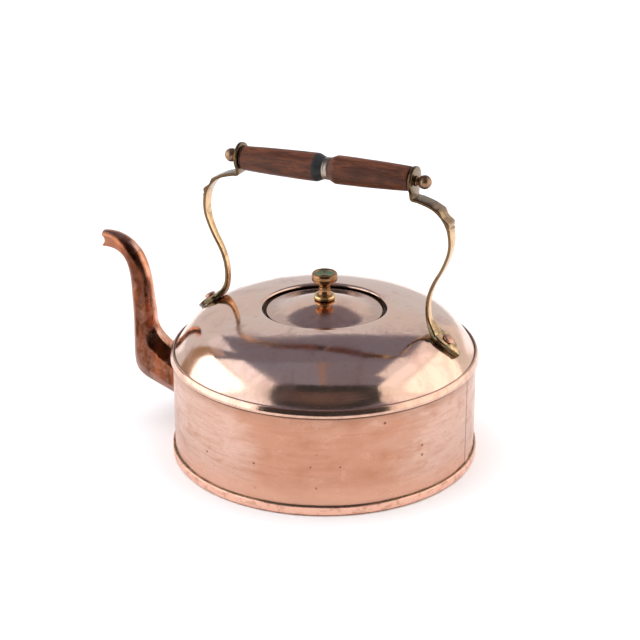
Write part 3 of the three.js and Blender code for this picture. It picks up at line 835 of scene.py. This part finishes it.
def build_lid():
    under, inside = LID_TOP - LID_SHEET, LID_R - LID_SHEET
    cover = (
        Path(LID_HOLE_R, under)
        .cubic(19.6, under - 0.6, 32.6, LID_RIM_TOP - 0.5, LID_R - 1.6, LID_RIM_TOP - 0.9, 24)
        .line(inside, LID_RIM_TOP - 1.6)
        .line(inside, LID_LOW, 2)
        .line(LID_R, LID_LOW)
        .line(LID_R, LID_RIM_TOP - 1.2, 2)
        .quad(LID_R, LID_RIM_TOP - 0.1, LID_R - 1.4, LID_RIM_TOP, 6)
        .cubic(33, LID_RIM_TOP + 0.4, 20, LID_TOP - 0.6, LID_HOLE_R, LID_TOP, 48)
        .line(LID_HOLE_R, under)
    )
    mesh = lathe(cover, 192, dented(0.16, 30, 17.0, lambda r, z: smoothstep(r, 10, 16)))
    line_inside(mesh, lambda c, n: n.z < -0.1)
    piece("lid_top", mesh, "copper_polished", [lid_copper, tin], "lid_cover", body="lid")

    low, top = reach("lid_skirt", 2, high=False), reach("lid_skirt", 2)
    inside = SKIRT_R - LID_SHEET
    skirt = (
        Path(inside, low + 0.2)
        .quad(inside, low, SKIRT_R - LID_SHEET / 2, low, 3)
        .quad(SKIRT_R, low, SKIRT_R, low + 0.4, 3)
        .line(SKIRT_R, top, 6)
        .line(inside, top)
        .line(inside, low + 0.2, 6)
    )
    piece("lid_skirt_ring", lathe(skirt, 160), "copper_polished", neck_copper, "lid_skirt", body="lid")

    foot = LID_TOP + 0.3
    knob = (
        Path(0, KNOB_LOW)
        .line(2.4, KNOB_LOW, 2)
        .quad(3.9, KNOB_LOW + 0.2, 3.9, KNOB_LOW + 1.4)
        .line(SHANK_R, KNOB_LOW + 1.4)
        .line(SHANK_R, foot, 2)
        .line(7.6, foot, 3)
        .quad(8.2, foot, 8.2, foot + 0.5, 4)
        .quad(8.2, foot + 0.9, 7.7, foot + 1.0, 4)
        .quad(8.7, foot + 1.2, 8.5, foot + 2.2, 6)
        .quad(8.3, foot + 3.3, 7.0, foot + 3.6, 6)
        .quad(5.2, foot + 4.2, 4.7, foot + 7, 10)
        .line(4.5, foot + 10.6, 3)
        .quad(4.7, foot + 12.6, 7.0, foot + 13.3, 10)
        .quad(10.6, foot + 14.5, 10.2, foot + 18.4, 12)
        .quad(10.0, foot + 21.4, 8.8, foot + 21.4, 8)
        .quad(7.8, foot + 21.4, 7.2, foot + 20.0, 6)
        .quad(6.2, foot + 17.2, 0, foot + 16.8, 10)
    )
    piece("lid_knob_turned", lathe(knob, 80, sharp=50), "brass_knob", knob_brass, "lid_knob", body="lid")


# ---------------- handle
EYE_X, EYE_R, EYE_THICK, STRAP_THICK, FOOT_THICK = 72.1, 11, 2.6, 2.4, 4.2
RIVET_REACH = 99.4  # from the middle of the handle
# The middle of a strap between its eye and its foot, as (x, z).
SWAY = [
    (77, 218.4), (82, 217.1), (86.6, 215.6), (91, 213.4), (94.5, 210.6),
    (97.4, 207.2), (99.7, 203.7), (101.3, 199.8), (102.3, 195), (102.8, 189.5),
    (102.5, 183.5), (101.1, 177.5), (98.6, 170.6), (95.6, 164), (91.4, 156.4),
    (88.2, 149), (86.2, 141.6), (85.5, 134.4), (85.6, 129.4),
]
# The leaf at a strap's foot, as (x, half its width).
LEAF = [
    (92.2, 7.6), (94.4, 8.8), (97, 9.2), (99.6, 8.7), (102, 7.6),
    (104.2, 6), (106.2, 4.2), (107.8, 2.4), (109, 0.9),
]


def dome_point(radius, height):
    """The point at a height off the dome's outside, in (radius, z), and the normal there."""
    start, pull, push, rim = DOME_CURVE
    curve = Path(*start).cubic(*pull, *push, *rim, 400).points
    i = min(range(1, len(curve) - 1), key=lambda k: abs(curve[k][0] - radius))
    along = (Vector(curve[i + 1]) - Vector(curve[i - 1])).normalized()
    normal = Vector((along.y, -along.x))
    return Vector((radius, curve[i][1])) + normal * height, normal


def knuckle(t):
    """Extra thickness on a strap's outer face: a low ridge, a hollow, a high ridge and a bead."""

    def swell(at, height, spread):
        return height * math.exp(-(((t - at) / spread) ** 2))

    ridge = swell(0.205, 0.7, 0.024) - swell(0.272, 0.7, 0.026) + swell(0.35, 1.3, 0.03)
    return ridge + swell(0.408, 0.55, 0.009) - swell(0.392, 0.35, 0.006)


def bar_section(half, inner, outer, low_edge, high_edge, turns=3):
    """A rounded bar's cut, as (across, off): its corners are arcs, its faces a little crowned."""
    low_edge, high_edge = min(low_edge, half * 0.45), min(high_edge, half * 0.45)
    corners = [
        (-half + low_edge, inner + low_edge, low_edge, math.pi),
        (half - low_edge, inner + low_edge, low_edge, 1.5 * math.pi),
        (half - high_edge, outer - high_edge, high_edge, 0.0),
        (-half + high_edge, outer - high_edge, high_edge, 0.5 * math.pi),
    ]
    made = []
    for x, y, radius, start in corners:
        for i in range(turns + 1):
            angle = start + i / turns * math.pi / 2
            made.append((x + radius * math.cos(angle), y + radius * math.sin(angle)))
    return made


def strap_rings(side):
    """A strap's cuts from the top of its eye down to the tip of its leaf."""
    rings = []
    stations = []

    def add(x, z, half, thick=EYE_THICK, bump=0.0, low_edge=0.5, high_edge=0.6):
        stations.append((x, z, half, thick, bump, low_edge, high_edge))

    for degrees in range(6, 133, 6):
        angle = math.radians(degrees)
        add(EYE_X, ROD_Z + EYE_R * math.cos(angle), EYE_R * math.sin(angle))
    add(EYE_X, 222.4, 7.6)
    add(EYE_X, 221, 7.3)
    add(EYE_X + 0.2, 219.9, 7.2)
    add(EYE_X + 0.7, 219.1, 7.1)
    add(EYE_X + 1.6, 218.7, 7.05, 2.5)
    add(EYE_X + 3.0, 218.55, 7.0, STRAP_THICK)
    steps = 110
    for i in range(steps + 1):
        t = i / steps
        x, z = catmull(SWAY, t)
        half = lerp(7.1, 3.4, smoothstep(t, 0.12, 0.88)) + 0.25 * math.exp(-(((t - 0.35) / 0.04) ** 2))
        edge = lerp(0.6, 1.0, smoothstep(t, 0.45, 0.7))
        add(x, z, half, STRAP_THICK + 0.5 * smoothstep(t, 0.6, 1), knuckle(t), edge, edge)
    add(85.8, 127.4, 3.5, 2.9, 0, 1.0, 1.0)
    add(86.2, 125.6, 3.55, 3.0, 0, 1.0, 1.0)
    add(87, 122.8, 4, 3.3, 0, 1.0, 1.0)
    add(88.6, 119.5, 4.9, 3.7, 0, 0.9, 1.1)
    add(90.4, 117.2, 6.4, FOOT_THICK, 0, 0.6, 1.3)
    for i in range(25):
        radius, half = catmull(LEAF, i / 24)
        p, _ = dome_point(radius + side * ROD_X, 0.3 + FOOT_THICK / 2)
        add(p.x - side * ROD_X, p.y, max(half, 0.6), FOOT_THICK, 0, 0.5, 1.5)
    for i, (x, z, half, thick, bump, low_edge, high_edge) in enumerate(stations):
        before, after = stations[max(i - 1, 0)], stations[min(i + 1, len(stations) - 1)]
        along = Vector((after[0] - before[0], after[1] - before[1])).normalized()
        out = Vector((-along.y, along.x))
        rough = 0.10 * wander(x, side * 9, z, 9, 4)
        ring = []
        for across, off in bar_section(half + rough, -thick / 2, thick / 2 + bump, low_edge, high_edge):
            ring.append(Vector((ROD_X + side * (x + out.x * off), side * across, z + out.y * off)))
        rings.append(ring)
    return rings


def along_rod(mesh, side=REAR, tilt=0.0):
    """Lays a mesh turned round Z along the handle's rod."""
    lay = Matrix.Rotation(math.pi / 2, 4, "Y")
    turn = Matrix.Rotation(0 if side == REAR else math.pi, 4, "Z")
    tip = Matrix.Rotation(-tilt, 4, "Y")
    mesh.transform(Matrix.Translation(Vector((ROD_X, 0, ROD_Z)) * MM) @ tip @ turn @ lay)
    return mesh


WAIST_X, WAIST_R, WAIST_HALF = 1.7, 8.6, 2.0
BARREL_R, BARREL_END_R, BARREL_END_X = 11.0, 9.4, 69.2
GRIP_TILT = math.radians(0.9)


def barrel(waist_end, seed):
    """One half of the grip, from its waist to its end."""
    bore, bevel = 4.0, 5.2
    path = (
        Path(bore, waist_end)
        .line(WAIST_R - 0.3, waist_end)
        .quad(WAIST_R, waist_end, WAIST_R + 0.15, waist_end + 0.4, 3)
        .line(BARREL_R - 0.6, waist_end + bevel - 1.0, 5)
        .quad(BARREL_R, waist_end + bevel, BARREL_R, waist_end + bevel + 1.6, 6)
        .quad(BARREL_R - 0.2, lerp(waist_end, BARREL_END_X, 0.55), BARREL_END_R, BARREL_END_X - 1.2, 36)
        .quad(BARREL_END_R - 0.1, BARREL_END_X, BARREL_END_R - 1.0, BARREL_END_X, 4)
        .line(bore, BARREL_END_X)
        .line(bore, waist_end)
    )
    return lathe(path, 96, dented(0.10, 13, seed, lambda r, z: smoothstep(r, 5, 8)))


def build_handle():
    for side, end in ((FRONT, "front"), (REAR, "rear")):
        mesh = skin(strap_rings(side), close_ends=True, sharp=46)
        piece(f"strap_{end}", mesh, "brass_aged", strap_brass, f"handle_strap_{end}")

        head = FOOT_THICK + 0.6
        rivet = (
            Path(0, -3.4)
            .line(2.6, -3.4, 2)
            .line(3.8, -2.2)
            .line(SHANK_R, -2.2)
            .line(SHANK_R, head, 2)
            .line(4.3, head)
            .quad(4.75, head + 0.3, 4.5, head + 0.9, 5)
            .quad(3.8, head + 2.0, 1.6, head + 2.2, 8)
            .quad(0.8, head + 2.3, 0, head + 2.3, 3)
        )
        mesh = lathe(rivet, 48, dented(0.12, 4, 40 + side, lambda r, z: smoothstep(z, head, head + 0.5)))
        p, normal = dome_point(RIVET_REACH + side * ROD_X, 0)
        turn = Vector((0, 0, 1)).rotation_difference(Vector((side * normal.x, 0, normal.y)))
        mesh.transform(Matrix.Translation(Vector((side * p.x, 0, p.y)) * MM) @ turn.to_matrix().to_4x4())
        piece(f"rivet_button_{end}", mesh, "copper_rivet", rivet_copper, f"rivet_{end}")

        face = EYE_X + EYE_THICK / 2 + 0.3
        ball_x, ball_r, neck_r = 80.2, 5.3, 3.1
        meet = math.sqrt(ball_r**2 - neck_r**2)
        finial = (
            Path(2.8, face)
            .line(3.7, face)
            .quad(4.1, face + 0.1, 4.0, face + 0.7, 3)
            .quad(3.9, face + 1.2, neck_r, face + 1.3, 4)
            .arc(0, ball_x, ball_r, math.atan2(-meet, neck_r), math.pi / 2, 26)
            .line(0, ball_x - 0.8)
            .line(2.8, ball_x - 0.8)
            .line(2.8, face)
        )
        worn = dented(0.08, 4, 50 + side, lambda r, z: smoothstep(z, face + 2, face + 4))
        mesh = along_rod(lathe(finial, 56, worn), side)
        piece(f"ball_{end}", mesh, "brass_finial", bronze, f"finial_{end}")

        low, high = BARREL_END_X + 0.3, EYE_X - EYE_THICK / 2 - 0.3
        washer = Path(2.9, low).line(8.3, low).quad(8.9, low, 8.9, (low + high) / 2, 3)
        washer.quad(8.9, high, 8.3, high, 3).line(2.9, high).line(2.9, low)
        mesh = along_rod(lathe(washer, 64), side)
        piece(f"washer_{end}", mesh, "brass_aged", washer_brass, f"grip_washer_{end}")

    collar_edge = WAIST_HALF + 0.3
    mesh = along_rod(barrel(collar_edge - WAIST_X, 60), FRONT, GRIP_TILT)
    piece("grip_front_half", mesh, "grip_wood", wood_front, "grip_barrel_front")
    mesh = along_rod(barrel(collar_edge + WAIST_X, 70), REAR, GRIP_TILT)
    piece("grip_rear_half", mesh, "grip_wood", wood_rear, "grip_barrel_rear")

    low, high = WAIST_X - WAIST_HALF - 0.15, WAIST_X + WAIST_HALF + 0.15
    collar = (
        Path(4.0, low)
        .line(WAIST_R - 0.2, low)
        .quad(WAIST_R + 0.1, low, WAIST_R + 0.1, low + 0.4, 3)
        .quad(WAIST_R - 0.1, (low + high) / 2, WAIST_R + 0.1, high - 0.4, 6)
        .quad(WAIST_R + 0.1, high, WAIST_R - 0.2, high, 3)
        .line(4.0, high)
        .line(4.0, low)
    )
    mesh = along_rod(lathe(collar, 64), REAR, GRIP_TILT)
    piece("grip_collar_ring", mesh, "steel_grey", steel, "grip_collar")


# ---------------- the kettle
copper = dome_look()
lid_copper = lid_look()
wall = wall_look()
hem = hem_look()
spout_copper = spout_look()
tin = tin_look()
strap_brass = strap_look()
knob_brass = knob_look((LID_TOP + 17.6) * MM, (LID_TOP + 1.2) * MM, (LID_TOP + 3.8) * MM)
rivet_copper = plain_metal("copper_rivet", ((0.62, 0.33, 0.24), (0.48, 0.26, 0.19)), (0.25, 0.42))
bronze = plain_metal("brass_finial", ((0.34, 0.21, 0.13), (0.22, 0.13, 0.08)), (0.28, 0.45))
washer_brass = plain_metal("brass_washer", ((0.12, 0.09, 0.07), (0.07, 0.055, 0.045)), (0.4, 0.6))
steel = steel_look()
solder = plain_metal("solder_grey", ((0.27, 0.24, 0.17), (0.13, 0.125, 0.08)), (0.4, 0.6))
neck_copper = plain_metal("copper_neck", ((0.24, 0.16, 0.12), (0.12, 0.085, 0.06)), (0.3, 0.5), 0.02)
waist_front = (ROD_X + WAIST_X - WAIST_HALF - 0.3) * MM
wood_front = wood_look("wood_front", waist_front - 0.0072, waist_front - 0.0060)
wood_rear = wood_look("wood_rear")

build_body()
build_lid()
build_handle()
for name, look in (("handle_rod", steel), ("knob_washer", washer_brass)):
    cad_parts[name].data.materials.clear()
    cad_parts[name].data.materials.append(look)


# ---------------- studio
CAMERA_AZ = math.radians(25)


def floor_look():
    look = Look("floor_white", metallic=0.0)
    look.colour((0.92, 0.92, 0.92))
    look.roughness(0.9)
    return look.material


def panel(name, corner, far, inward, radiance, glossy=True):
    """A flat soft light between two opposite corners of a rectangle, in the tent's own frame."""
    across = Vector((math.cos(CAMERA_AZ), math.sin(CAMERA_AZ), 0))
    ahead = Vector((math.sin(CAMERA_AZ), -math.cos(CAMERA_AZ), 0))
    place = Matrix((across, ahead, (0, 0, 1))).transposed()
    corner, far, inward = Vector(corner), Vector(far), Vector(inward)
    span = far - corner
    upright = abs(inward.z) < 0.5
    width = span.y if abs(inward.x) > 0.5 else span.x
    height = span.z if upright else span.y
    light = bpy.data.lights.new(name, "AREA")
    light.shape = "RECTANGLE"
    light.size, light.size_y = abs(width), abs(height)
    strongest = max(radiance)
    light.color = [v / strongest for v in radiance]
    light.energy = strongest * abs(width * height) * math.pi
    obj = bpy.data.objects.new(name, light)
    bpy.context.scene.collection.objects.link(obj)
    behind = place @ -inward
    up = Vector((0, 0, 1)) if upright else ahead
    obj.rotation_mode = "QUATERNION"
    obj.rotation_quaternion = Matrix((up.cross(behind), up, behind)).transposed().to_quaternion()
    obj.location = place @ ((corner + far) / 2)
    obj.visible_camera = False
    obj.visible_glossy = glossy


def studio():
    """A white tent, open at the front, under a dim ceiling: across, ahead (to the camera) and up."""
    scene = bpy.context.scene
    scene.view_settings.view_transform = "Standard"
    world = bpy.data.worlds.new("studio")
    scene.world = world
    world.use_nodes = True
    background = world.node_tree.nodes["Background"]
    background.inputs["Color"].default_value = (0.05, 0.05, 0.055, 1)
    background.inputs["Strength"].default_value = 1.0

    bm = bmesh.new()
    bmesh.ops.create_grid(bm, x_segments=4, y_segments=4, size=6)
    mesh = bpy.data.meshes.new("floor")
    bm.to_mesh(mesh)
    bm.free()
    mesh.materials.append(floor_look())
    floor = bpy.data.objects.new("floor", mesh)
    floor.location.z = -0.0002
    scene.collection.objects.link(floor)

    side, back, top = 1.5, -2.9, 3.3
    middle, high = 1.1, 2.2  # the side walls are brightest below the first, and end at the second
    post_back, post_front, left_front, right_back = -1.25, -0.78, 1.35, -0.9
    wide, ceiling_from, ceiling_to, seam_left, seam_right = 4, -0.7, 2.1, -0.15, 0.05
    white, cool, warm = (1, 1, 1), (0.96, 1, 1.04), (1, 0.94, 0.86)
    left, right, down = (1, 0, 0), (-1, 0, 0), (0, 0, -1)

    def grey(level, tint=white):
        return [level * v for v in tint]

    panel("left_low", (-side, post_front, 0), (-side, left_front, middle), left, grey(2.4))
    panel("left_high", (-side, -0.6, middle), (-side, left_front, high), left, grey(1.05))
    panel("left_post", (-side, post_back, 0), (-side, post_front, 1.6), left, (0.34, 0.22, 0.12))
    panel("left_far", (-side, back, 0), (-side, post_back, high), left, grey(0.72, cool))
    panel("right_low", (side, right_back, 0), (side, 1.4, middle), right, grey(1.7, warm))
    panel("right_high", (side, right_back, middle), (side, 1.35, 1.9), right, grey(1.05, warm))
    panel("right_top", (side, right_back, 1.9), (side, 0.75, 2.8), right, grey(0.75, warm))
    panel("right_far", (side, back, 0), (side, right_back, high), right, grey(0.84, warm))
    panel("back", (-side, back, 0), (side, back, 2.4), (0, 1, 0), grey(0.70, cool))
    panel("ceiling_back", (-wide, -4.4, top), (wide, ceiling_from, top), down, (0.155, 0.155, 0.215))
    for name, x_from, x_to, radiance in (
        ("ceiling_left", -wide, seam_left, (0.20, 0.22, 0.305)),
        ("ceiling_seam", seam_left, seam_right, (0.29, 0.19, 0.16)),
        ("ceiling_right", seam_right, wide, (0.175, 0.175, 0.235)),
    ):
        panel(name, (x_from, ceiling_from, top), (x_to, ceiling_to, top), down, radiance)
    panel("front", (-2.8, 3.0, 1.5), (2.8, 3.0, top), (0, -1, 0), (0.10, 0.064, 0.052))
    panel("fill", (-2, -2, 2.6), (2, 2, 2.6), down, grey(2.0), glossy=False)


def camera():
    data = bpy.data.cameras.new("camera")
    data.lens, data.sensor_width = 101.25, 36
    data.clip_start, data.clip_end = 0.05, 50
    obj = bpy.data.objects.new("camera", data)
    bpy.context.scene.collection.objects.link(obj)
    obj.location = (0.54575, -1.17877, 0.64585)
    aim = Vector((-0.00322, -0.00150, 0.1078))
    obj.rotation_mode = "QUATERNION"
    obj.rotation_quaternion = (aim - obj.location).to_track_quat("-Z", "Y")
    bpy.context.scene.camera = obj


studio()
camera()
bpy.context.view_layer.update()
